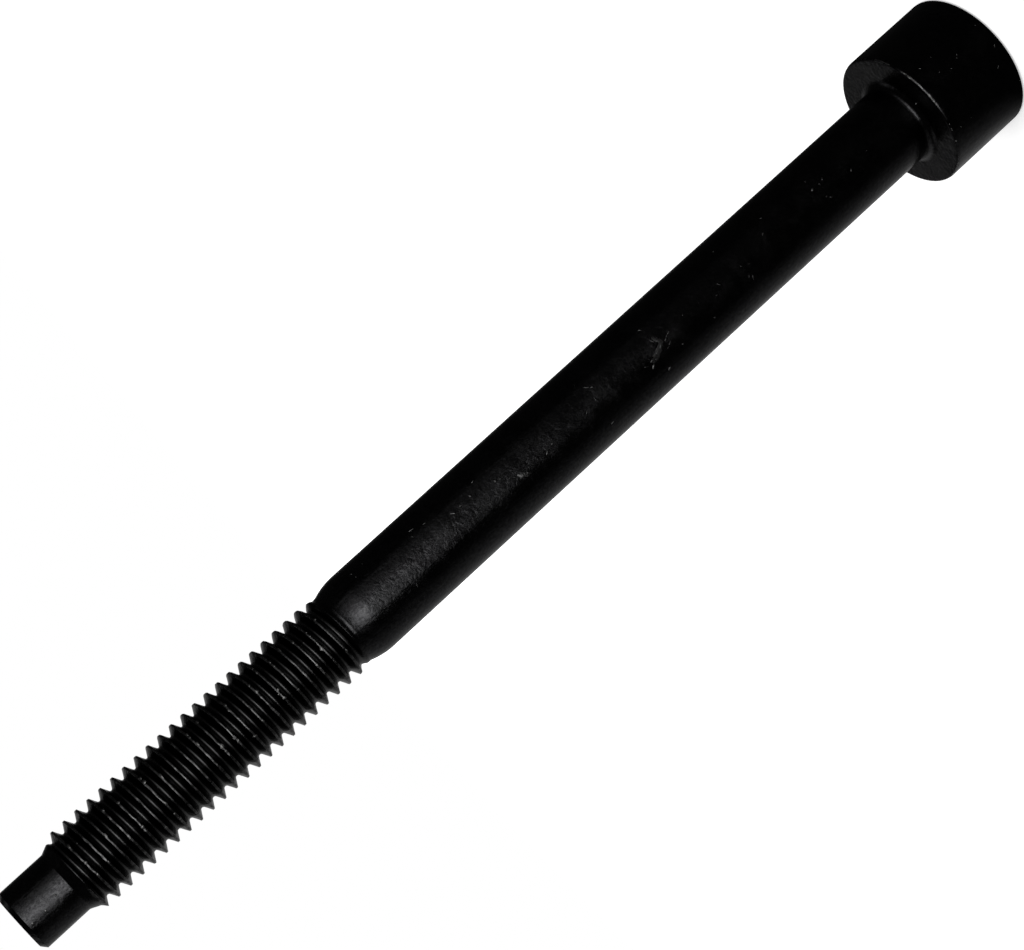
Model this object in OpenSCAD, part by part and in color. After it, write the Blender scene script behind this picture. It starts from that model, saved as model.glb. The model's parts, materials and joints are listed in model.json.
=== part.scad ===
// Suspension bolt of the leaf-spring centre kind, formed in one piece from steel:
// a plain round locating head, a full shank, a rolled right-hand thread and a dog point.
// It stands on the end face of its head, with +Z along the axis towards the point.
// All sizes are in millimetres.

/* [Head] */
// Diameter of the round head
head_d = 17.5; // [14:0.1:22]
// Height of the round head
head_h = 11.6; // [8:0.1:14]
// Rounding of the edge round the head's end face
head_edge_r = 0.5; // [0.2:0.1:1.5]
// Rounding of the edge round the bearing face
face_edge_r = 0.3; // [0.1:0.1:0.8]
// Fillet between the bearing face and the shank
head_fillet_r = 0.9; // [0.3:0.1:1.5]

/* [Shank] */
// Diameter of the plain shank
shank_d = 9.8; // [9.6:0.1:11]
// Length from the bearing face to the tip
under_head_len = 131.7; // [100:0.1:180]
// Length of the rounded shoulder where the shank drops to the neck
shoulder_len = 2.9; // [1.5:0.1:5]
// Diameter of the plain neck behind the thread
neck_d = 8.75; // [8.55:0.05:9.2]
// Length of the plain neck behind the thread
neck_len = 0.2; // [0.2:0.1:3]

/* [Thread] */
// Outside diameter over the thread's crests, just under 3/8 inch
thread_d = 9.45; // [9.3:0.01:9.55]
// Distance from one crest to the next, 16 turns to the inch
pitch = 1.5875; // [1.4:0.0125:1.7]
// Length of the thread from the neck to the dog point's flare
thread_len = 36.8; // [15:0.1:60]
// Length over which the thread grows out of the neck
neck_run = 1.5; // [1.5:0.1:4]
// Length over which the thread grows out of the dog point's flare
tip_run = 0.5; // [0.4:0.1:4]
// Turn of the whole thread about the axis, in degrees
thread_turn = 230; // [0:5:355]

/* [Dog point] */
// Diameter of the dog point
dog_d = 7.3; // [6.6:0.1:7.4]
// Straight length of the dog point
dog_len = 6; // [2:0.1:10]
// Chamfer on the tip
tip_chamfer = 0.55; // [0.2:0.05:1]
// Radius of the hollow flare from the dog point up to the thread
flare_r = 1.3; // [0.8:0.1:4]

/* [Quality] */
// Flat sides in each turn of the thread
turn_sides = 32; // [24:4:36]

/* [Hidden] */
$fn = 96;

// Heights above the end face of the head
tip_z = head_h + under_head_len;
dog_z = tip_z - dog_len;

// Form of the 60 degree thread, measured from its pitch line
crest_flat = pitch / 8;
crest_rise = (pitch / 2 - crest_flat) / (2 * tan(30));
root_flat = 0.15 * pitch;
root_drop = (pitch / 2 - root_flat) / (2 * tan(30));
pitch_r = thread_d / 2 - crest_rise;

// The flare ends where it is a little below the pitch line
step = 0.04;
flare_end_r = pitch_r - 2 * step;
flare_rise = flare_end_r - dog_d / 2;
flare_len = sqrt(pow(flare_r, 2) - pow(flare_r - flare_rise, 2));
flare_z = dog_z - flare_len;
neck_z = flare_z - thread_len;
shoulder_z = neck_z - neck_len;
shank_z = shoulder_z - shoulder_len;

// The threaded rod starts a little inside the neck and ends inside the dog point
lead_in = 0.25 * pitch;
rod_z = neck_z - 2 * lead_in - pitch;
turns = ceil((flare_z - rod_z) / pitch);
rod_top_z = rod_z + (turns + 1) * pitch;
steps = turns * turn_sides;

// One turn of the thread as [share of the pitch, height over the pitch line]
turn_form = [
    [0, -root_drop],
    [root_flat / pitch, -root_drop],
    [(pitch + root_flat - crest_flat) / (2 * pitch), crest_rise],
    [(pitch + root_flat + crest_flat) / (2 * pitch), crest_rise]
];

// Radius of the rod without its thread at a height, kept inside the neck and the dog point
function rod_r(z) = lookup(z, [
    [neck_z, neck_d / 2 - step],
    [neck_z + neck_run, pitch_r],
    [flare_z - tip_run, pitch_r],
    [flare_z, flare_end_r - step],
    [flare_z + flare_len / 3, dog_d / 2 + flare_rise / 4],
    [dog_z, dog_d / 2 - 2 * step]
]);

// Share of the full thread depth at a height
function growth(z) = lookup(z, [
    [neck_z, 0],
    [neck_z + neck_run, 1],
    [flare_z - tip_run, 1],
    [flare_z + step, 0]
]);

// A point of the rod's skin at a step round the helix, a height and a height over the pitch line
function skin(i, z, rise) =
    let (r = rod_r(z) + growth(z) * rise, a = 360 * i / turn_sides)
    [r * cos(a), r * sin(a), z];

// Place in the point list of step i on line k of the turn, where line 4 is line 0 a turn later
function at(i, k) =
    k == 4 ? i + turn_sides
    : k == 0 ? i
    : (steps + turn_sides + 1) + (k - 1) * (steps + 1) + i;

// The two end rings come last in the point list
low_ring = (steps + turn_sides + 1) + 3 * (steps + 1);
high_ring = low_ring + turn_sides;
function low(i) = low_ring + i % turn_sides;
function high(i) = high_ring + i % turn_sides;

// The threaded rod: four helical bands for each turn, closed by a flat disc at each end
module threaded_rod() {
    lines = [
        for (k = [0 : 3], i = [0 : k == 0 ? steps + turn_sides : steps])
            skin(i, rod_z + pitch * (i / turn_sides + turn_form[k][0]), turn_form[k][1])
    ];
    low_points = [for (i = [0 : turn_sides - 1]) skin(i, rod_z - lead_in, 0)];
    high_points = [for (i = [0 : turn_sides - 1]) skin(i, rod_top_z + lead_in, 0)];
    bands = [
        for (i = [0 : steps - 1], k = [0 : 3])
            each [
                [at(i, k), at(i, k + 1), at(i + 1, k + 1)],
                [at(i, k), at(i + 1, k + 1), at(i + 1, k)]
            ]
    ];
    low_wedge = [
        for (i = [0 : turn_sides - 2])
            each [
                [low(i), at(i, 0), at(i + 1, 0)],
                [low(i), at(i + 1, 0), low(i + 1)]
            ]
    ];
    last = at(turn_sides - 1, 0);
    low_seam = [
        [last, low(0), low(turn_sides - 1)],
        [last, at(0, 0), low(0)],
        for (k = [0 : 3]) [last, at(0, k + 1), at(0, k)]
    ];
    first = at(steps + 1, 0);
    high_seam = [
        for (k = [0 : 3]) [first, at(steps, k), at(steps, k + 1)],
        [first, at(steps, 4), high(0)],
        [first, high(0), high(1)]
    ];
    high_wedge = [
        for (i = [1 : turn_sides - 1])
            each [
                [at(steps + i, 0), high(i), high(i + 1)],
                [at(steps + i, 0), high(i + 1), at(steps + i + 1, 0)]
            ]
    ];
    low_disc = [for (i = [1 : turn_sides - 2]) [low(0), low(i), low(i + 1)]];
    high_disc = [for (i = [1 : turn_sides - 2]) [high(0), high(i + 1), high(i)]];
    polyhedron(
        points = concat(lines, low_points, high_points),
        faces = concat(bands, low_wedge, low_seam, high_seam, high_wedge, low_disc, high_disc)
    );
}

// Half outline of the round head, with both of its edges rounded
module head_outline() {
    flat_r = head_d / 2 - head_edge_r;
    face_r = head_d / 2 - face_edge_r;
    square([flat_r, head_h]);
    square([face_r, head_h]);
    translate([0, head_edge_r])
        square([head_d / 2, head_h - head_edge_r - face_edge_r]);
    translate([flat_r, head_edge_r])
        circle(head_edge_r);
    translate([face_r, head_h - face_edge_r])
        circle(face_edge_r);
}

// Half outline of the fillet under the head
module fillet_outline() {
    translate([shank_d / 2 - step, head_h - step])
        difference() {
            square(head_fillet_r + step);
            translate([head_fillet_r + step, head_fillet_r + step])
                circle(head_fillet_r);
        }
}

// Half outline of the shank, its rounded shoulder and the neck
module shank_outline() {
    drop = (shank_d - neck_d) / 2;
    bow_r = (pow(shoulder_len, 2) + pow(drop, 2)) / (2 * drop);
    bow = [
        for (i = [0 : 12])
            let (h = shoulder_len * i / 12)
            [shank_d / 2 - bow_r + sqrt(pow(bow_r, 2) - pow(h, 2)), shank_z + h]
    ];
    polygon(concat([[0, head_h - step]], [[shank_d / 2, head_h - step]], bow,
        [[neck_d / 2, neck_z], [0, neck_z]]));
}

// Half outline of the dog point with its chamfered tip and its flare
module dog_outline() {
    r = dog_d / 2;
    polygon([[0, flare_z], [r, flare_z], [r, tip_z - tip_chamfer], [r - tip_chamfer, tip_z], [0, tip_z]]);
    difference() {
        translate([r - step, flare_z])
            square([flare_rise + step, flare_len]);
        translate([r + flare_r, dog_z])
            circle(flare_r);
    }
}

// The whole bolt, one piece of black phosphated steel
module bolt() {
    color([0.07, 0.07, 0.075])
    union() {
        rotate_extrude() head_outline();
        rotate_extrude() fillet_outline();
        rotate_extrude() shank_outline();
        rotate([0, 0, thread_turn]) threaded_rod();
        rotate_extrude() dog_outline();
    }
}

// Part to draw, or all of them
bolt();
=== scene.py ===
import json
import math
import random

import bpy
import mathutils
import mathutils.noise
import numpy as np
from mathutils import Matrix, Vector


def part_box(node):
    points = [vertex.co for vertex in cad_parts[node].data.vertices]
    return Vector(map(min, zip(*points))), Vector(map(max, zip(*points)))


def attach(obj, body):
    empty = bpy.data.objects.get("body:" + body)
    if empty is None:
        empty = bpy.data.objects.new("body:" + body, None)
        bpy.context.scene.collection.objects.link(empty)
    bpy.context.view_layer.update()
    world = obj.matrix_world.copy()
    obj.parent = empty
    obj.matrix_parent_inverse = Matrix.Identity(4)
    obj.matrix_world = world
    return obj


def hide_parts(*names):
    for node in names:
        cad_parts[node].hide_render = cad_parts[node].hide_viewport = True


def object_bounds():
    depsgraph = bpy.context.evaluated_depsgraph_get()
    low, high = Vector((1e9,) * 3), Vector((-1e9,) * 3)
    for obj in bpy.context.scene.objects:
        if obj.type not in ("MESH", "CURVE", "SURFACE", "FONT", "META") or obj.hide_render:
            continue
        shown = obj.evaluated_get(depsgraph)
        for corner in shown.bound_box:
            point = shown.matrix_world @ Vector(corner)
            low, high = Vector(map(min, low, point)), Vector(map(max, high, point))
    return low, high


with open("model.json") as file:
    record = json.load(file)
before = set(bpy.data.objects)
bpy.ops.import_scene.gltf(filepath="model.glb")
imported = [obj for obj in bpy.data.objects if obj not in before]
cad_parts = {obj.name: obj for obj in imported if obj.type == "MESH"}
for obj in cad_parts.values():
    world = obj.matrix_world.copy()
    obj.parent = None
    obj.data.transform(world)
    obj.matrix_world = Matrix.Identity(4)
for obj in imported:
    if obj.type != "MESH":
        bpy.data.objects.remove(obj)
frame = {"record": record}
cad_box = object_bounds()

MM = 0.001

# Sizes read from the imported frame, in millimetres; the head stays just inside the CAD's facets
MOUNTS = {m["name"]: m for m in frame["record"]["mounts"]}
HEAD_R = -cad_box[0][0] / MM
SHANK_R = MOUNTS["shank"]["dims"]["r_mm"]
DOG_R = MOUNTS["dog_point"]["dims"]["r_mm"]
CREST_R = MOUNTS["thread"]["dims"]["r_mm"]
THREAD_LEN = MOUNTS["thread"]["dims"]["length_mm"]
HEAD_H = MOUNTS["bearing_face"]["pos_m"][2] / MM
TIP_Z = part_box("bolt")[1][2] / MM

# The other sizes of the part's source, in millimetres, and the turn of its thread in degrees
HEAD_EDGE_R = 0.5
FACE_EDGE_R = 0.3
FILLET_R = 0.9
SHOULDER_LEN = 2.9
NECK_R = 8.75 / 2
NECK_LEN = 0.2
NECK_RUN = 1.5
TIP_RUN = 0.5
DOG_LEN = 6.0
TIP_CHAMFER = 0.55
FLARE_R = 1.3
PITCH = 1.5875
THREAD_TURN = 230

# The 60 degree thread, measured from its pitch line; a flank would rise FLANK_RISE over a whole pitch
SLOPE = 2 * math.tan(math.radians(30))
FLANK_RISE = PITCH * math.tan(math.radians(60))
CREST_FLAT = PITCH / 8
CREST_RISE = (PITCH / 2 - CREST_FLAT) / SLOPE
ROOT_FLAT = 0.15 * PITCH
ROOT_DROP = (PITCH / 2 - ROOT_FLAT) / SLOPE
PITCH_R = CREST_R - CREST_RISE
FLARE_DROP = 0.08
FLARE_END_R = PITCH_R - FLARE_DROP
FLARE_LEN = math.sqrt(FLARE_R ** 2 - (FLARE_R - FLARE_END_R + DOG_R) ** 2)

# Heights above the head's end face
DOG_Z = TIP_Z - DOG_LEN
FLARE_Z = DOG_Z - FLARE_LEN
NECK_Z = FLARE_Z - THREAD_LEN
SHANK_Z = NECK_Z - NECK_LEN - SHOULDER_LEN

# Heights between which the thread grows out of the neck, runs, and dies away into the flare
RUN_HEIGHTS = [NECK_Z, NECK_Z + NECK_RUN, FLARE_Z - TIP_RUN, FLARE_Z]

# The head's worn rim as (inset, depth under the bearing face, wear), and the depth where it starts
RIM_FORM = [
    (0, 0.32, 0.1), (0.015, 0.24, 0.7), (0.05, 0.12, 1), (0.09, 0.05, 0.9), (0.16, 0.012, 0.2),
    (FACE_EDGE_R, 0, 0),
]
RIM_START = 0.4

# The rounding of the thread's roots, how far its crests are rolled over, and the edges of the tip
ROOT_R = 0.25
CREST_ROLL = 0.06
TIP_EDGE_R = 0.1

# Flat sides round the bolt and the table, and rings of points along the bolt
SIDES = 144
HEAD_SIDE_RINGS = 14
SHANK_RINGS = 48
SHOULDER_RINGS = 12
DOG_RINGS = 8

# One chip or bead from its middle outwards: share of its size, and share of its height
CHIP_FORM = [(0.35, 0.9), (0.7, 0.5), (1.0, -0.3)]
CHIP_SPOKES = 10
SEED = 7

# The photograph's camera: its place in metres, its tilt and roll in degrees, and its focal length
CAMERA_AT = (0.0, -0.23175, 0.13785)
CAMERA_DOWN = 15.32
CAMERA_ROLL = 132.38
PICTURE_WIDTH = 1024
FOCAL_PIXELS = 2225

# The soft lamp over the table: its place and size in metres, and its power in watts
LAMP_AT = (0.12, -0.14, 0.9)
LAMP_SIZE = 0.5
LAMP_POWER = 4.5

# The table's radius in metres
TABLE_R = 0.62

# How bright the room is to dull surfaces, and how bright its parts are in reflections
PALE_ROOM = 0.6
DARK_ROOM = 0.01
FRONT_LIGHT = 2.2
SIDE_LIGHT = 0.25
HIGH_LIGHT = 0.2

# How the lights in reflections fade, as (degrees, level): the front light across its width and
# above the horizon, and the pale side around the bolt, with turns counted from the front
FRONT_ACROSS = [
    (-61, 0), (-54, 0.06), (-40, 0.12), (-26, 0.26), (-13, 0.6), (0, 1), (12, 0.78), (25, 0.55),
    (29, 0.24), (33, 0),
]
FRONT_UPWARDS = [(-14, 0), (-11, 1), (17, 1), (24, 0.35), (30, 0)]
SIDE_AROUND = [
    (56, 0), (62, 0.04), (74, 0.18), (87, 0.36), (101, 0.65), (119, 0.85), (142, 1), (186, 1),
    (198, 0.3), (212, 0),
]

# The lit patch of the table in reflections, as (distance from the bolt in metres, level)
TABLE_PATCH = [
    (0, 0), (0.063, 0.006), (0.121, 0.018), (0.215, 0.038), (0.348, 0.058), (0.43, 0.062),
    (TABLE_R, 0.08),
]

# Chips, scabs and beads, each placed from the photograph as (height, turn from the camera,
# length, width, slant), with sizes in millimetres and angles in degrees
SHANK_CHIPS = [
    (95.3, -49, 0.35, 0.25, 20), (95.2, -40, 0.22, 0.2, 0), (93.7, -49, 0.22, 0.2, 0),
    (95.7, 12, 0.3, 0.2, 130), (95.4, 15, 0.35, 0.14, 30), (91.2, 22, 0.45, 0.14, 110),
    (87.6, -36, 0.85, 0.14, 10), (88.1, -28, 0.4, 0.14, 30), (86.1, -30, 0.5, 0.14, 0),
    (83.2, -14, 0.75, 0.18, 40), (84.1, -3, 0.3, 0.2, 60), (82.1, -15, 0.3, 0.16, 20),
    (80.6, -17, 0.45, 0.26, 60), (80.7, 3, 0.55, 0.1, 130), (79.2, -28, 0.45, 0.14, 0),
    (77.5, -9, 0.42, 0.3, 40), (76.9, -6, 0.5, 0.12, 20), (76.1, 1, 0.24, 0.18, 0),
    (75.7, 4, 0.4, 0.1, 60), (75.0, 11, 0.6, 0.12, 20), (74.6, 9, 0.4, 0.12, 110),
    (74.2, 12, 0.5, 0.12, 60), (73.8, 8, 0.45, 0.12, 100), (74.4, 14, 0.5, 0.1, 0),
    (71.2, 9, 0.8, 0.14, 150), (70.1, 5, 0.3, 0.26, 0), (63.7, -31, 0.7, 0.1, 120),
    (63.0, -19, 0.8, 0.14, 40), (62.5, -14, 0.5, 0.12, 30), (63.2, 0, 0.6, 0.14, 95),
    (64.9, 5, 0.5, 0.12, 150), (63.2, 40, 0.5, 0.14, 170), (54.0, -6, 0.75, 0.16, 70),
    (53.5, -1, 0.7, 0.14, 50), (55.7, 20, 0.7, 0.24, 145), (56.3, 14, 0.7, 0.14, 20),
    (55.3, 12, 0.9, 0.16, 165), (54.4, 9, 0.8, 0.16, 150), (53.6, 6, 0.8, 0.18, 140),
    (52.5, 3, 0.9, 0.14, 150), (51.9, 0, 0.5, 0.14, 160), (54.9, 16, 0.5, 0.2, 60),
    (54.2, 38, 0.6, 0.2, 160), (54.0, -28, 0.4, 0.12, 30), (52.5, 11, 0.6, 0.12, 150),
    (53.0, 14, 0.5, 0.1, 170), (51.4, 24, 0.3, 0.2, 0), (49.3, -4, 0.28, 0.2, 0),
    (46.5, 27, 0.34, 0.24, 0), (44.8, 7, 0.3, 0.2, 40), (41.1, -42, 0.34, 0.3, 0),
    (40.1, 22, 0.6, 0.16, 110), (40.4, 17, 0.4, 0.12, 130), (40.4, 0, 0.3, 0.14, 60),
    (39.5, 5, 0.35, 0.12, 20), (43.8, -2, 0.5, 0.12, 60), (34.5, -30, 0.4, 0.16, 30),
    (35.8, -12, 0.5, 0.2, 150), (27.6, -26, 0.3, 0.24, 0), (27.8, -11, 0.55, 0.32, 150),
    (26.7, -10, 0.36, 0.24, 50), (26.0, -13, 0.42, 0.24, 140), (27.1, 8, 0.3, 0.2, 0),
    (26.7, 13, 0.4, 0.24, 40), (22.7, 4, 0.5, 0.2, 140), (19.7, -1, 0.25, 0.18, 0),
]
HEAD_CHIPS = [
    (9.8, -19, 0.7, 0.12, 50), (8.5, -7, 0.5, 0.26, 150), (5.7, -6, 0.45, 0.16, 40),
    (5.4, -8, 0.35, 0.14, 110), (7.8, -20, 0.4, 0.14, 90), (7.1, -3, 0.4, 0.12, 30),
    (10.2, 36, 0.34, 0.24, 0), (8.5, 36, 0.3, 0.16, 0), (2.3, 20, 0.75, 0.3, 160),
    (1.1, 6, 0.8, 0.14, 130), (1.0, -15, 0.34, 0.2, 60),
]
RIM_BEADS = [
    (11.42, -46, 0.2, 0.9, 0), (11.42, -41, 0.2, 1.0, 0), (11.42, -26, 0.26, 0.9, 0),
    (11.42, -20, 0.26, 0.8, 0), (11.42, 3, 0.26, 0.8, 0), (11.42, 7, 0.24, 0.5, 0),
    (11.4, 27.5, 0.24, 0.24, 0), (11.4, 32, 0.24, 0.5, 0), (11.4, 43, 0.26, 0.34, 0),
]
DOG_CHIPS = [(142.3, 13, 0.4, 0.4, 0), (140.6, 12, 0.4, 0.3, 0), (138.9, 4, 0.3, 0.3, 0)]
FOOT_BEADS = [(11.68, -2, 0.26, 0.24, 0)]
SMEARS = [(54.4, 10, 3.4, 0.9, 150), (53.4, -3, 1.7, 0.6, 60), (74.6, 10, 2.2, 0.6, 30)]

# How far the head's rim is worn bare, as (turn from the camera in degrees, share)
RIM_WEAR = [
    (-180, 0.8), (-140, 1), (-100, 0.6), (-56, 0.7), (-50, 1), (-43, 1), (-40, 0.25), (-31, 0.2),
    (-28, 1), (9, 1), (12, 0.5), (15, 0.2), (24, 0.2), (50, 0.4), (90, 0.9), (130, 0.5), (180, 0.8),
]

# Beads of rolled-over metal on the thread's crests and in its roots, in the chips' order of values
CREST_BEADS = [
    (134.8, -31, 0.35, 0.7, 10), (134.7, -1, 0.4, 0.5, 0), (134.6, 20, 0.32, 0.4, 0),
    (133.0, 17, 0.28, 0.3, 0), (131.5, -9, 0.36, 0.7, 0), (130.0, -37, 0.3, 0.4, 0),
    (129.9, 14, 0.3, 0.35, 0), (128.4, -30, 0.45, 0.4, 0), (128.3, 14, 0.42, 0.4, 0),
    (126.6, 36, 0.35, 0.4, 0), (125.2, -35, 0.26, 0.5, 0), (125.2, -27, 0.34, 0.5, 0),
    (125.1, 11, 0.32, 0.6, 0), (125.1, 29, 0.34, 0.25, 0), (125.0, 39, 0.36, 0.4, 0),
    (123.6, -17, 0.3, 0.6, 0), (120.3, 23, 0.26, 0.3, 0), (118.9, -36, 0.3, 0.4, 0),
    (118.9, -30, 0.26, 0.4, 0), (118.8, -17, 0.3, 0.6, 0), (117.3, -40, 0.3, 0.5, 0),
    (117.2, 6, 0.4, 0.7, 0), (117.2, 14, 0.34, 0.3, 0), (115.7, 10, 0.5, 0.24, 40),
    (115.6, 15, 0.5, 0.24, 140), (114.1, -30, 0.34, 0.4, 0), (114.2, -22, 0.32, 0.45, 0),
    (114.0, 25, 0.5, 0.22, 20), (112.5, -3, 0.3, 0.5, 0), (112.4, 17, 0.32, 0.4, 0),
    (111.0, -28, 0.34, 0.4, 0), (110.9, -16, 0.34, 0.4, 0), (109.5, -44, 0.26, 0.3, 0),
    (109.5, -35, 0.3, 0.4, 0), (109.2, 1, 0.4, 0.4, 30), (109.4, 6, 0.4, 0.24, 0),
    (109.2, 14, 0.4, 0.5, 150), (107.8, -33, 0.34, 0.4, 0), (107.8, -25, 0.3, 0.3, 0),
    (107.6, 18, 0.34, 0.3, 0), (106.2, -37, 0.3, 0.7, 0), (104.7, -32, 0.36, 0.5, 0),
    (104.5, 12, 0.3, 0.6, 0), (103.0, -29, 0.24, 0.24, 0), (103.0, -22, 0.24, 0.24, 0),
    (103.0, -10, 0.26, 0.24, 0), (103.0, 0, 0.5, 0.5, 30), (102.9, 23, 0.26, 0.3, 0),
    (101.4, -35, 0.32, 0.35, 0), (101.2, 23, 0.3, 0.4, 30),
]
ROOT_BEADS = [
    (134.0, -35, 0.3, 0.35, 0), (128.9, -13, 0.3, 0.3, 40), (124.6, -12, 0.34, 0.34, 40),
    (103.8, -28, 0.3, 0.3, 0), (100.0, -28, 0.3, 0.3, 0), (99.8, 28, 0.2, 0.8, 20),
]


def smooth(x, low, high):
    """0 below low, 1 above high, and a smooth step between them."""
    t = np.clip((x - low) / (high - low), 0, 1)
    return t * t * (3 - 2 * t)


def base_radius(z):
    """Radius of the bolt above its head without the thread, at heights z."""
    drop = SHANK_R - NECK_R
    bow_r = (SHOULDER_LEN ** 2 + drop ** 2) / (2 * drop)
    bow = SHANK_R - bow_r + np.sqrt(bow_r ** 2 - np.clip(z - SHANK_Z, 0, SHOULDER_LEN) ** 2)
    rod = np.interp(z, RUN_HEIGHTS, [NECK_R, PITCH_R, PITCH_R, FLARE_END_R])
    flare = np.interp(z, [FLARE_Z, DOG_Z], [FLARE_END_R, DOG_R])
    chamfer = np.clip(z - (TIP_Z - TIP_CHAMFER), 0, None)
    return np.where(z < NECK_Z, bow, np.where(z < FLARE_Z, rod, flare)) - chamfer


def growth(z):
    """Share of the full thread depth at heights z."""
    return np.interp(z, RUN_HEIGHTS, [0, 1, 1, 0])


def turn_rows():
    """One turn of the thread as rows of (share of the pitch, rise over the pitch line, wear, polish).

    Polish is 1 where the root is burnished; -1 on the flanks is painted shade, a darker coat colour that
    darkens the thread's grooves.
    """
    bottom = -ROOT_DROP - ROOT_FLAT * math.cos(math.radians(30)) + ROOT_R
    half = [(0.0, bottom, 0.0, 1.0)]
    # Values below 0, on the flanks here and below, are painted shade in the thread's grooves
    for angle, polish_and_shade in ((15, 1.0), (30, 0.6), (45, -0.5), (60, -1.0)):
        a = math.radians(angle)
        half.append((ROOT_R * math.sin(a) / PITCH, bottom + ROOT_R * (1 - math.cos(a)), 0.0, polish_and_shade))
    foot = 0.27
    edge = 0.5 - CREST_FLAT / PITCH / 2
    half += [
        (foot, CREST_RISE - (edge - foot) * FLANK_RISE, 0.0, -1.0),
        (edge - 0.035, CREST_RISE - 0.03 * FLANK_RISE, 0.3, -0.5),
        (edge - 0.014, CREST_RISE - 0.02, 0.8, 0.0),
        (edge, CREST_RISE - 0.003, 1.0, 0.0),
    ]
    back = [(1 - share, rise, wear, polish_and_shade) for share, rise, wear, polish_and_shade in reversed(half[1:])]
    return half + [(0.5, CREST_RISE + 0.004, 1.0, 0.0)] + back


class Skin:
    """The bolt's surface as it is built: points, their wear, their polish and painted shade, and faces.
    """

    def __init__(self):
        self.points = []
        self.wear = []
        self.polish_and_shade = []
        self.faces = []

    def add(self, x, y, z, wear, polish_and_shade=0.0):
        """A point, given in millimetres. Returns its place in the list."""
        self.points.append((x * MM, y * MM, z * MM))
        self.wear.append(wear)
        self.polish_and_shade.append(polish_and_shade)
        return len(self.points) - 1

    def ring(self, r, z, wear=0.0):
        """A level ring of points round the axis."""
        turns = [2 * math.pi * i / SIDES for i in range(SIDES)]
        return [self.add(r * math.cos(a), r * math.sin(a), z, wear) for a in turns]

    def face(self, *ids):
        """A face between points, without those that follow themselves."""
        kept = [v for i, v in enumerate(ids) if v != ids[i - 1]]
        if len(kept) > 2:
            self.faces.append(kept)

    def join(self, low, high):
        """The band of faces between two rings."""
        for i in range(SIDES):
            n = (i + 1) % SIDES
            self.face(low[i], low[n], high[n], high[i])

    def stack(self, rings):
        """The bands of faces along a list of rings."""
        for low, high in zip(rings, rings[1:]):
            self.join(low, high)


def arc(cx, cz, r, start, end, steps):
    """Points (radius, height) on a round edge, from one angle to another in degrees."""
    turns = [math.radians(start + (end - start) * i / steps) for i in range(steps + 1)]
    return [(cx + r * math.cos(a), cz + r * math.sin(a)) for a in turns]


def end_face_rings(skin):
    """The flat end face of the head and its rounded, slightly worn edge."""
    pole = skin.add(0, 0, 0, 0)
    flat_r = HEAD_R - HEAD_EDGE_R
    rings = [skin.ring(flat_r * share, 0) for share in (0.12, 0.4, 0.7, 0.9, 0.985)]
    for i in range(SIDES):
        skin.face(pole, rings[0][(i + 1) % SIDES], rings[0][i])
    edge = arc(flat_r, HEAD_EDGE_R, HEAD_EDGE_R, -90, 0, 10)
    return rings + [skin.ring(r, z, 0.3) for r, z in edge]


def rim_rings(skin):
    """The rim round the bearing face, worn bare by the share that RIM_WEAR gives each side."""
    turns = [(270 - 360 * i / SIDES + 180) % 360 - 180 for i in range(SIDES)]
    shares = np.interp(turns, [turn for turn, _ in RIM_WEAR], [share for _, share in RIM_WEAR])
    rings = []
    for inset, depth, wear in RIM_FORM:
        rings.append(skin.ring(HEAD_R - inset, HEAD_H - depth))
        for point, share in zip(rings[-1], shares):
            skin.wear[point] = wear * share
    return rings


def head_rings(skin):
    """The head, its bearing face and the fillet under it, from the end face upwards."""
    rings = end_face_rings(skin)
    side_len = HEAD_H - RIM_START - HEAD_EDGE_R
    for share in np.linspace(0.02, 0.98, HEAD_SIDE_RINGS):
        rings.append(skin.ring(HEAD_R, HEAD_EDGE_R + side_len * share))
    rings += rim_rings(skin)
    face_r = HEAD_R - FACE_EDGE_R
    fillet_r = SHANK_R + FILLET_R
    for share in (0.03, 0.2, 0.5, 0.8, 0.97):
        rings.append(skin.ring(face_r + (fillet_r - face_r) * share, HEAD_H))
    rings += [skin.ring(r, z) for r, z in arc(fillet_r, HEAD_H + FILLET_R, FILLET_R, 270, 180, 10)]
    return rings


def shank_rings(skin, top):
    """The plain shank and the start of its shoulder, up to the height top."""
    plain = np.linspace(HEAD_H + FILLET_R + 0.05, SHANK_Z - 0.3, SHANK_RINGS)
    shoulder = np.linspace(SHANK_Z, top, SHOULDER_RINGS)
    return [skin.ring(float(base_radius(z)), z) for z in (*plain, *shoulder)]


def crest_bite(x, y, z):
    """How far a crest is rolled over or chipped at a place, from 0 to 1."""
    fine = mathutils.noise.noise((x * 1.9, y * 1.9, z * 1.9))
    broad = mathutils.noise.noise((x * 0.5 + 9, y * 0.5, z * 0.7))
    return float(smooth(fine + 0.6 * broad, 0.15, 0.6))


def thread_point(skin, side, z, row):
    """One point of the rod's skin; row says where it lies on the turn of the thread."""
    rise, wear, polish_and_shade = row[1:]
    turn = 2 * math.pi * side / SIDES
    depth = float(growth(z))
    r = float(base_radius(z)) + depth * rise
    x, y = r * math.cos(turn), r * math.sin(turn)
    if rise > 0:
        lean = mathutils.noise.noise((x * 1.1, y * 1.1, z * 1.1 + 40))
        z += CREST_ROLL * lean * depth * wear
        r -= CREST_ROLL * crest_bite(x, y, z) * wear * depth
    grown = min(1, depth * 1.5)
    return skin.add(r * math.cos(turn), r * math.sin(turn), z, wear * grown, polish_and_shade * grown)


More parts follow.
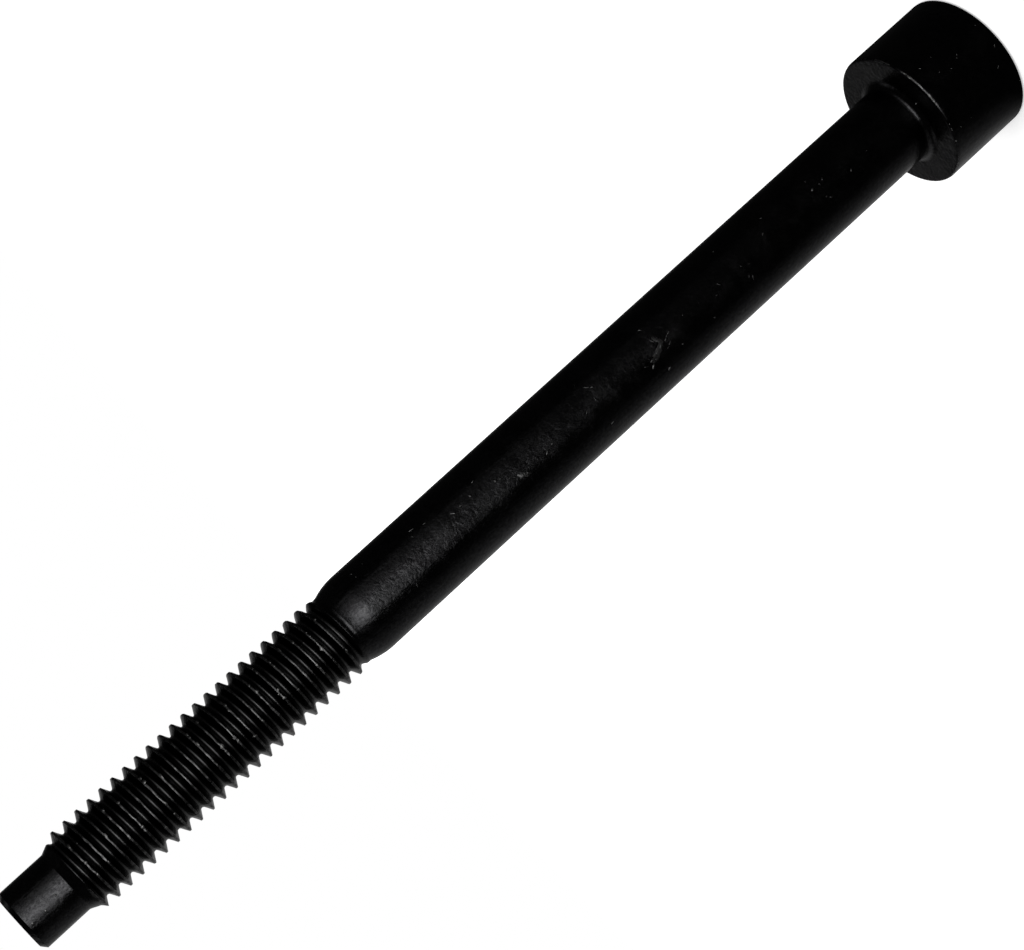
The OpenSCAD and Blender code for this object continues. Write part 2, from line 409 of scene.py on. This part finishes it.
def thread_columns(skin, low_z, turns):
    """The threaded rod as columns of points, one at each side and the first once more to close it.

    Each column runs up from the level ring at low_z, over the whole turns, to the level ring above them.
    """
    form = turn_rows()
    rows = len(form)
    shares = [row[0] for row in form] + [1.0]
    columns = []
    for i in range(SIDES):
        part = i / SIDES
        # The first column has nothing under its first turn: there its lowest point is repeated
        low = [(shares[k] * part, 0) for k in range(rows if i else 0)]
        main = [(part + k // rows + shares[k % rows], k % rows) for k in range(turns * rows + 1)]
        high = [(turns + part + shares[k] * (1 - part), 0) for k in range(1, rows + 1)]
        places = low + main + high
        column = [thread_point(skin, i, low_z + PITCH * rise, form[row]) for rise, row in places]
        columns.append([column[0]] * (rows - len(low)) + column)
    top = len(columns[0]) - 1
    # Once round, the helix meets the first column one turn higher
    columns.append([columns[0][min(q + rows, top)] for q in range(top + 1)])
    return columns


def threaded_rod(skin):
    """The threaded rod. Returns the height and the points of its lowest ring, and of its highest."""
    # At the angle THREAD_TURN, a root's middle lies this share of the pitch below the neck's end
    root_share = 0.5 - ROOT_FLAT / PITCH / 2
    low_z = NECK_Z - PITCH * (root_share + THREAD_TURN / 360)
    turns = math.ceil((FLARE_Z + PITCH - low_z) / PITCH) - 1
    columns = thread_columns(skin, low_z, turns)
    top = len(columns[0]) - 1
    for left, right in zip(columns, columns[1:]):
        for q in range(top):
            skin.face(left[q], right[q], right[q + 1], left[q + 1])
    low_ring = [column[0] for column in columns[:SIDES]]
    high_ring = [column[top] for column in columns[:SIDES]]
    return low_z, low_ring, low_z + PITCH * (turns + 1), high_ring


def dog_rings(skin, low):
    """The dog point above the height low, with its chamfered tip."""
    side_top = TIP_Z - TIP_CHAMFER
    rings = [skin.ring(DOG_R, z) for z in np.linspace(low + 0.3, side_top - 0.06, DOG_RINGS)]
    outer_edge = arc(DOG_R - TIP_EDGE_R, side_top, TIP_EDGE_R, 0, 45, 4)
    rings += [skin.ring(r, z) for r, z in outer_edge]
    face_r = DOG_R - TIP_CHAMFER
    inner_edge = arc(face_r - TIP_EDGE_R, TIP_Z - TIP_EDGE_R, TIP_EDGE_R, 40, 90, 4)
    rings += [skin.ring(r, z, 0.2) for r, z in inner_edge]
    rings += [skin.ring(face_r * share, TIP_Z) for share in (0.9, 0.6, 0.3, 0.1)]
    pole = skin.add(0, 0, TIP_Z, 0)
    for i in range(SIDES):
        skin.face(pole, rings[-1][i], rings[-1][(i + 1) % SIDES])
    return rings


def chip(skin, rng, r, lift, wear, polish_and_shade, z, turn, length, width, slant):
    """A small scab or raised chip on a round surface of radius r, with slant in degrees."""
    centre = math.radians(270 - turn)
    lean = math.radians(slant)
    rings = []
    for share, rise in CHIP_FORM:
        ids = []
        for k in range(CHIP_SPOKES):
            a = 2 * math.pi * k / CHIP_SPOKES
            grow = share * rng.uniform(0.75, 1.25) / 2
            u = length * grow * math.cos(a)
            v = width * grow * math.sin(a)
            along = u * math.cos(lean) - v * math.sin(lean)
            across = u * math.sin(lean) + v * math.cos(lean)
            here = centre + across / r
            out = r + lift * rise
            ids.append(skin.add(out * math.cos(here), out * math.sin(here), z + along, wear, polish_and_shade))
        rings.append(ids)
    top = skin.add((r + lift) * math.cos(centre), (r + lift) * math.sin(centre), z, wear, polish_and_shade)
    for k in range(CHIP_SPOKES):
        n = (k + 1) % CHIP_SPOKES
        skin.face(top, rings[0][k], rings[0][n])
        skin.face(rings[0][k], rings[1][k], rings[1][n], rings[0][n])
        skin.face(rings[1][k], rings[2][k], rings[2][n], rings[1][n])


def add_marks(skin):
    """All chips, beads and smears, which share one run of random draws."""
    rng = random.Random(SEED)
    # Height and wear of a mark
    bead = (0.04, 0.9)
    smear = (0.012, 0.0)
    # The marks' places, the radius of the surface under them, their height and wear, and their polish
    marks = (
        (SHANK_CHIPS, SHANK_R, bead, 0.05),
        (HEAD_CHIPS, HEAD_R - 0.03, bead, 1.0),
        (RIM_BEADS, HEAD_R - 0.05, bead, 1.0),
        (CREST_BEADS, CREST_R, bead, 0.5),
        (ROOT_BEADS, PITCH_R - 0.44, bead, 0.3),
        (DOG_CHIPS, DOG_R, bead, 0.2),
        (FOOT_BEADS, SHANK_R + FILLET_R, bead, 0.6),
        (SMEARS, SHANK_R, smear, 1.0),
    )
    for places, r, (lift, wear), polish_and_shade in marks:
        for place in places:
            chip(skin, rng, r, lift, wear, polish_and_shade, *place)


def bolt_skin():
    """The whole surface of the bolt, from the head's end face to the tip."""
    skin = Skin()
    rings = head_rings(skin)
    low_z, low_ring, high_z, high_ring = threaded_rod(skin)
    rings += shank_rings(skin, low_z - 0.08)
    skin.stack(rings + [low_ring])
    skin.stack([high_ring] + dog_rings(skin, high_z))
    add_marks(skin)
    return skin


def make_bolt(material):
    """The bolt's visible piece, which stands for the CAD node."""
    skin = bolt_skin()
    mesh = bpy.data.meshes.new("bolt_body")
    mesh.from_pydata(skin.points, [], skin.faces)
    mesh.validate()
    # The polish attribute also carries the painted shade of the thread's flanks
    for name, values in (("wear", skin.wear), ("polish_and_shade", skin.polish_and_shade)):
        mesh.attributes.new(name, "FLOAT", "POINT").data.foreach_set("value", values)
    mesh.shade_smooth()
    mesh.materials.append(material)
    piece = bpy.data.objects.new("bolt_body", mesh)
    bpy.context.scene.collection.objects.link(piece)
    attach(piece, "root")
    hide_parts("bolt")
    return piece


def add_node(tree, kind, inputs=None, **settings):
    """A node with its settings, and with each input given a value or linked to an output."""
    node = tree.nodes.new("ShaderNode" + kind)
    for name, value in settings.items():
        setattr(node, name, value)
    for name, value in (inputs or {}).items():
        if isinstance(value, bpy.types.NodeSocket):
            tree.links.new(value, node.inputs[name])
        else:
            node.inputs[name].default_value = value
    return node


def math_node(tree, operation, *values):
    """The output of a Math node over one to three values or outputs."""
    return add_node(tree, "Math", dict(enumerate(values)), operation=operation).outputs[0]


def step_node(tree, value, low, high):
    """A smooth step of an output from 0 at low to 1 at high."""
    inputs = {"Value": value, "From Min": low, "From Max": high}
    return add_node(tree, "MapRange", inputs, interpolation_type="SMOOTHSTEP").outputs[0]


def noise_node(tree, where, scale, detail=3.0, roughness=0.55, distortion=0.0):
    """The value of a noise texture."""
    inputs = {"Vector": where, "Scale": scale, "Detail": detail, "Roughness": roughness,
              "Distortion": distortion}
    return add_node(tree, "TexNoise", inputs).outputs["Fac"]


def mix_colour(tree, factor, first, second):
    """One colour faded into another."""
    node = add_node(tree, "Mix", data_type="RGBA")
    for name, value in (("Factor_Float", factor), ("A_Color", first), ("B_Color", second)):
        socket = next(s for s in node.inputs if s.identifier == name)
        if isinstance(value, bpy.types.NodeSocket):
            tree.links.new(value, socket)
        else:
            socket.default_value = value
    return next(s for s in node.outputs if s.identifier == "Result_Color")


def grey(value, blue=1.0):
    """A neutral colour, a little bluer or warmer where blue isn't 1."""
    return (value, value, value * blue, 1)


def new_tree(data):
    """An empty node tree on a material or a world."""
    data.use_nodes = True
    data.node_tree.nodes.clear()
    return data.node_tree


def coat_colour(tree, mm, streaks, polish_and_shade):
    """The phosphate: mottled and streaked, burnished in the thread's roots, and darkened on its flanks
    with painted shade.
    """
    dark = grey(0.02, 1.05)
    pale = grey(0.074, 1.03)
    streaked = grey(0.04, 1.04)
    burnished = grey(0.09)
    # Painted shade: the darker colour that the thread's flanks get
    flank_shade = grey(0.014)
    mottle = noise_node(tree, mm, 3.2, 4.0, 0.7, 0.8)
    coat = mix_colour(tree, step_node(tree, mottle, 0.32, 0.68), dark, pale)
    half = math_node(tree, "MULTIPLY", step_node(tree, streaks, 0.35, 0.65), 0.5)
    coat = mix_colour(tree, half, coat, streaked)
    coat = mix_colour(tree, polish_and_shade, coat, burnished)
    # Where polish is below 0, on the flanks, the painted shade is mixed in
    return mix_colour(tree, math_node(tree, "MULTIPLY", polish_and_shade, -1.0), coat, flank_shade)


def steel_colour(tree, mm, polish_and_shade):
    """The bare steel, still stained in spots, and bright where it is polished."""
    stained = grey(0.075)
    clean = grey(0.19)
    bright = grey(0.32, 0.97)
    spots = noise_node(tree, mm, 1.7, 2.0, 0.6)
    steel = mix_colour(tree, step_node(tree, spots, 0.38, 0.62), stained, clean)
    return mix_colour(tree, polish_and_shade, steel, bright)


def worn_share(tree, mm):
    """How bare the steel is: it follows the wear of the surface, broken up by flecks of the coat."""
    wear = add_node(tree, "Attribute", attribute_name="wear").outputs["Fac"]
    fleck = noise_node(tree, mm, 2.6, 4.0, 0.65)
    bare = math_node(tree, "MULTIPLY_ADD", fleck, 2.4, math_node(tree, "ADD", wear, -1.2))
    return step_node(tree, bare, 0.62, 0.74)


def surface_roughness(tree, mm, worn, polish_and_shade):
    """Smoothest where the oil lies, rougher where it is dry, worn bare or burnished."""
    oil = noise_node(tree, mm, 0.35, 3.0, 0.6, 0.6)
    coat = math_node(tree, "MULTIPLY_ADD", step_node(tree, oil, 0.3, 0.7), 0.13, 0.13)
    rough = math_node(tree, "MULTIPLY_ADD", worn, 0.1, coat)
    return math_node(tree, "MULTIPLY_ADD", polish_and_shade, 0.1, rough)


def surface_bump(tree, mm, streaks):
    """The crinkle of the coat, with fine grain and streaks along the bolt."""
    crinkle = noise_node(tree, mm, 1.3, 4.0, 0.6, 1.1)
    grain = noise_node(tree, mm, 7.0, 2.0)
    height = math_node(tree, "MULTIPLY_ADD", grain, 0.12, crinkle)
    height = math_node(tree, "MULTIPLY_ADD", streaks, 0.8, height)
    bump = add_node(tree, "Bump", {"Strength": 1.0, "Distance": 0.03 * MM, "Height": height})
    return bump.outputs[0]


def black_phosphate():
    """Oiled black phosphate on steel: a dark sheen, crinkled and flaked, bare on its worn edges."""
    material = bpy.data.materials.new("black_phosphate")
    tree = new_tree(material)
    place = add_node(tree, "TexCoord").outputs["Object"]
    mm = add_node(tree, "VectorMath", {0: place, "Scale": 1 / MM}, operation="SCALE").outputs[0]
    drawn = add_node(tree, "VectorMath", {0: mm, 1: (1.0, 1.0, 0.12)}, operation="MULTIPLY").outputs[0]
    streaks = noise_node(tree, drawn, 2.2, 3.0)
    # Polish, and below 0 the painted shade on the thread's flanks
    polish_and_shade = add_node(tree, "Attribute", attribute_name="polish_and_shade").outputs["Fac"]
    worn = worn_share(tree, mm)
    coat = coat_colour(tree, mm, streaks, polish_and_shade)
    shader = add_node(tree, "BsdfPrincipled", {
        "Base Color": mix_colour(tree, worn, coat, steel_colour(tree, mm, polish_and_shade)),
        "Metallic": 1.0,
        "Roughness": surface_roughness(tree, mm, worn, polish_and_shade),
        "Normal": surface_bump(tree, mm, streaks),
    })
    out = add_node(tree, "OutputMaterial")
    tree.links.new(shader.outputs[0], out.inputs["Surface"])
    return material


def band_node(tree, value, low, high, blur):
    """1 where an angle lies between low and high, with soft ends; angles in degrees."""
    rise = step_node(tree, value, math.radians(low - blur), math.radians(low + blur))
    fall = step_node(tree, value, math.radians(high + blur), math.radians(high - blur))
    return math_node(tree, "MULTIPLY", rise, fall)


def level_ramp(tree, value, span, stops):
    """A level that follows a value: span is the ramp's reach, stops are (value, level)."""
    low, high = span
    inputs = {"Value": value, "From Min": low, "From Max": high}
    ramp = add_node(tree, "ValToRGB", {"Fac": add_node(tree, "MapRange", inputs).outputs[0]})
    marks = ramp.color_ramp.elements
    for mark, (at, level) in zip(marks, (stops[0], stops[-1])):
        mark.position = (at - low) / (high - low)
        mark.color = grey(level)
    for at, level in stops[1:-1]:
        marks.new((at - low) / (high - low)).color = grey(level)
    return ramp.outputs[0]


def angle_ramp(tree, angle, span, stops):
    """A level that follows an angle, with span and stops in degrees."""
    reach = [math.radians(at) for at in span]
    return level_ramp(tree, angle, reach, [(math.radians(at), level) for at, level in stops])


def turn_from_front(tree, toward):
    """The angle of a direction from the front, positive towards the camera's right."""
    parts = add_node(tree, "SeparateXYZ", {0: toward}).outputs
    right = math_node(tree, "MULTIPLY", parts[0], -1.0)
    front = math_node(tree, "MULTIPLY", parts[1], -1.0)
    return math_node(tree, "ARCTAN2", right, front)


def side_level(tree, around):
    """How bright the pale wall and table are in a direction: behind the object and to its right."""
    full_turn = math_node(tree, "FLOORED_MODULO", around, 2 * math.pi)
    return angle_ramp(tree, full_turn, (50, 230), SIDE_AROUND)


def front_level(tree, around):
    """How bright the soft front light is across its width."""
    return angle_ramp(tree, around, (-70, 50), FRONT_ACROSS)


def room_level(tree, toward):
    """What the bolt reflects of the room: a front light, a pale side and a high light behind."""
    parts = add_node(tree, "SeparateXYZ", {0: toward}).outputs
    around = turn_from_front(tree, toward)
    up = math_node(tree, "ARCSINE", parts[2])
    upwards = angle_ramp(tree, up, (-30, 40), FRONT_UPWARDS)
    front = math_node(tree, "MULTIPLY", upwards, front_level(tree, around))
    side = math_node(tree, "MULTIPLY", side_level(tree, around), band_node(tree, up, -50, 26, 8))
    behind = step_node(tree, parts[1], 0.1, 0.5)
    high = math_node(tree, "MULTIPLY", band_node(tree, up, 42, 54, 5), behind)
    room = math_node(tree, "MULTIPLY_ADD", front, FRONT_LIGHT, DARK_ROOM)
    room = math_node(tree, "MULTIPLY_ADD", side, SIDE_LIGHT, room)
    return math_node(tree, "MULTIPLY_ADD", high, HIGH_LIGHT, room)


def studio_world():
    """White to the camera and pale for colours; reflections show a dim room with a soft front light."""
    world = bpy.data.worlds.new("studio")
    tree = new_tree(world)
    toward = add_node(tree, "TexCoord").outputs["Generated"]
    path = add_node(tree, "LightPath").outputs
    plain = mix_colour(tree, path["Is Camera Ray"], grey(PALE_ROOM), grey(1.0))
    colour = mix_colour(tree, path["Is Glossy Ray"], plain, room_level(tree, toward))
    shine = add_node(tree, "Background", {"Color": colour, "Strength": 1.0})
    out = add_node(tree, "OutputWorld")
    tree.links.new(shine.outputs[0], out.inputs["Surface"])
    bpy.context.scene.world = world


def table_level(tree, place, away):
    """What the bolt reflects of the table: a pale side, and a lit patch in front that fades inwards."""
    parts = add_node(tree, "SeparateXYZ", {0: place}).outputs
    around = turn_from_front(tree, place)
    patch = level_ramp(tree, away, (0, TABLE_R), TABLE_PATCH)
    # The patch ends at a straight line on the camera's right, and at a turn from the front on its left
    beside = math_node(tree, "MULTIPLY_ADD", parts[1], -0.75, math_node(tree, "ADD", parts[0], -0.08))
    right_end = step_node(tree, beside, -0.015, 0.015)
    left_end = step_node(tree, around, math.radians(-55), math.radians(-49))
    near = math_node(tree, "MULTIPLY", math_node(tree, "MULTIPLY", patch, right_end), left_end)
    # Far out, the table fades into the front light
    far = math_node(tree, "MULTIPLY", step_node(tree, away, 0.55, 0.7), front_level(tree, around))
    level = math_node(tree, "MULTIPLY_ADD", far, FRONT_LIGHT, math_node(tree, "ADD", near, DARK_ROOM))
    return math_node(tree, "MULTIPLY_ADD", side_level(tree, around), SIDE_LIGHT, level)


def floor_material():
    """Pale table, white to the camera, with the object's soft shadow left on it."""
    material = bpy.data.materials.new("pale_table")
    tree = new_tree(material)
    place = add_node(tree, "TexCoord").outputs["Object"]
    away = add_node(tree, "VectorMath", {0: place}, operation="LENGTH").outputs["Value"]
    # The glow is weaker close to the object, so that its shadow shows
    lift = math_node(tree, "MULTIPLY_ADD", step_node(tree, away, 0.1, 0.5), 0.6, 0.4)
    glow = add_node(tree, "Emission", {"Color": grey(1.0), "Strength": lift}).outputs[0]
    paint = add_node(tree, "BsdfDiffuse", {"Color": grey(0.85)}).outputs[0]
    lit = add_node(tree, "AddShader", {0: glow, 1: paint}).outputs[0]
    dim = add_node(tree, "Emission", {"Color": grey(1.0), "Strength": table_level(tree, place, away)})
    path = add_node(tree, "LightPath").outputs
    plain = add_node(tree, "MixShader", {0: path["Is Camera Ray"], 1: paint, 2: lit}).outputs[0]
    both = add_node(tree, "MixShader", {0: path["Is Glossy Ray"], 1: plain, 2: dim.outputs[0]})
    out = add_node(tree, "OutputMaterial")
    tree.links.new(both.outputs[0], out.inputs["Surface"])
    return material


def make_floor():
    """The round table that the bolt stands on."""
    turns = [2 * math.pi * i / SIDES for i in range(SIDES)]
    rim = [(TABLE_R * math.cos(a), TABLE_R * math.sin(a), 0) for a in turns]
    mesh = bpy.data.meshes.new("table")
    mesh.from_pydata(rim, [], [list(range(SIDES))])
    mesh.materials.append(floor_material())
    floor = bpy.data.objects.new("table", mesh)
    bpy.context.scene.collection.objects.link(floor)


def make_lamp():
    """A soft lamp above the front, which lights the floor and leaves the bolt's shadow on it."""
    light = bpy.data.lights.new("soft_lamp", "AREA")
    light.size = LAMP_SIZE
    light.energy = LAMP_POWER
    lamp = bpy.data.objects.new("soft_lamp", light)
    lamp.location = LAMP_AT
    aim = mathutils.Vector((0, 0, 0)) - lamp.location
    lamp.rotation_euler = aim.to_track_quat("-Z", "Y").to_euler()
    lamp.visible_camera = False
    lamp.visible_glossy = False
    bpy.context.scene.collection.objects.link(lamp)


def make_camera():
    """The photograph's view: level with the tip, looking down along the shank at the head."""
    data = bpy.data.cameras.new("camera")
    data.sensor_width = 36
    data.lens = FOCAL_PIXELS * data.sensor_width / PICTURE_WIDTH
    camera = bpy.data.objects.new("camera", data)
    camera.location = CAMERA_AT
    tilt = mathutils.Euler((math.radians(90 - CAMERA_DOWN), 0, 0)).to_quaternion()
    roll = mathutils.Quaternion((0, 0, 1), math.radians(-CAMERA_ROLL))
    camera.rotation_mode = "QUATERNION"
    camera.rotation_quaternion = tilt @ roll
    data.clip_start = 0.01
    bpy.context.scene.collection.objects.link(camera)
    bpy.context.scene.camera = camera


make_camera()
make_lamp()
studio_world()
make_floor()
make_bolt(black_phosphate())
bpy.context.scene.view_settings.view_transform = "Standard"
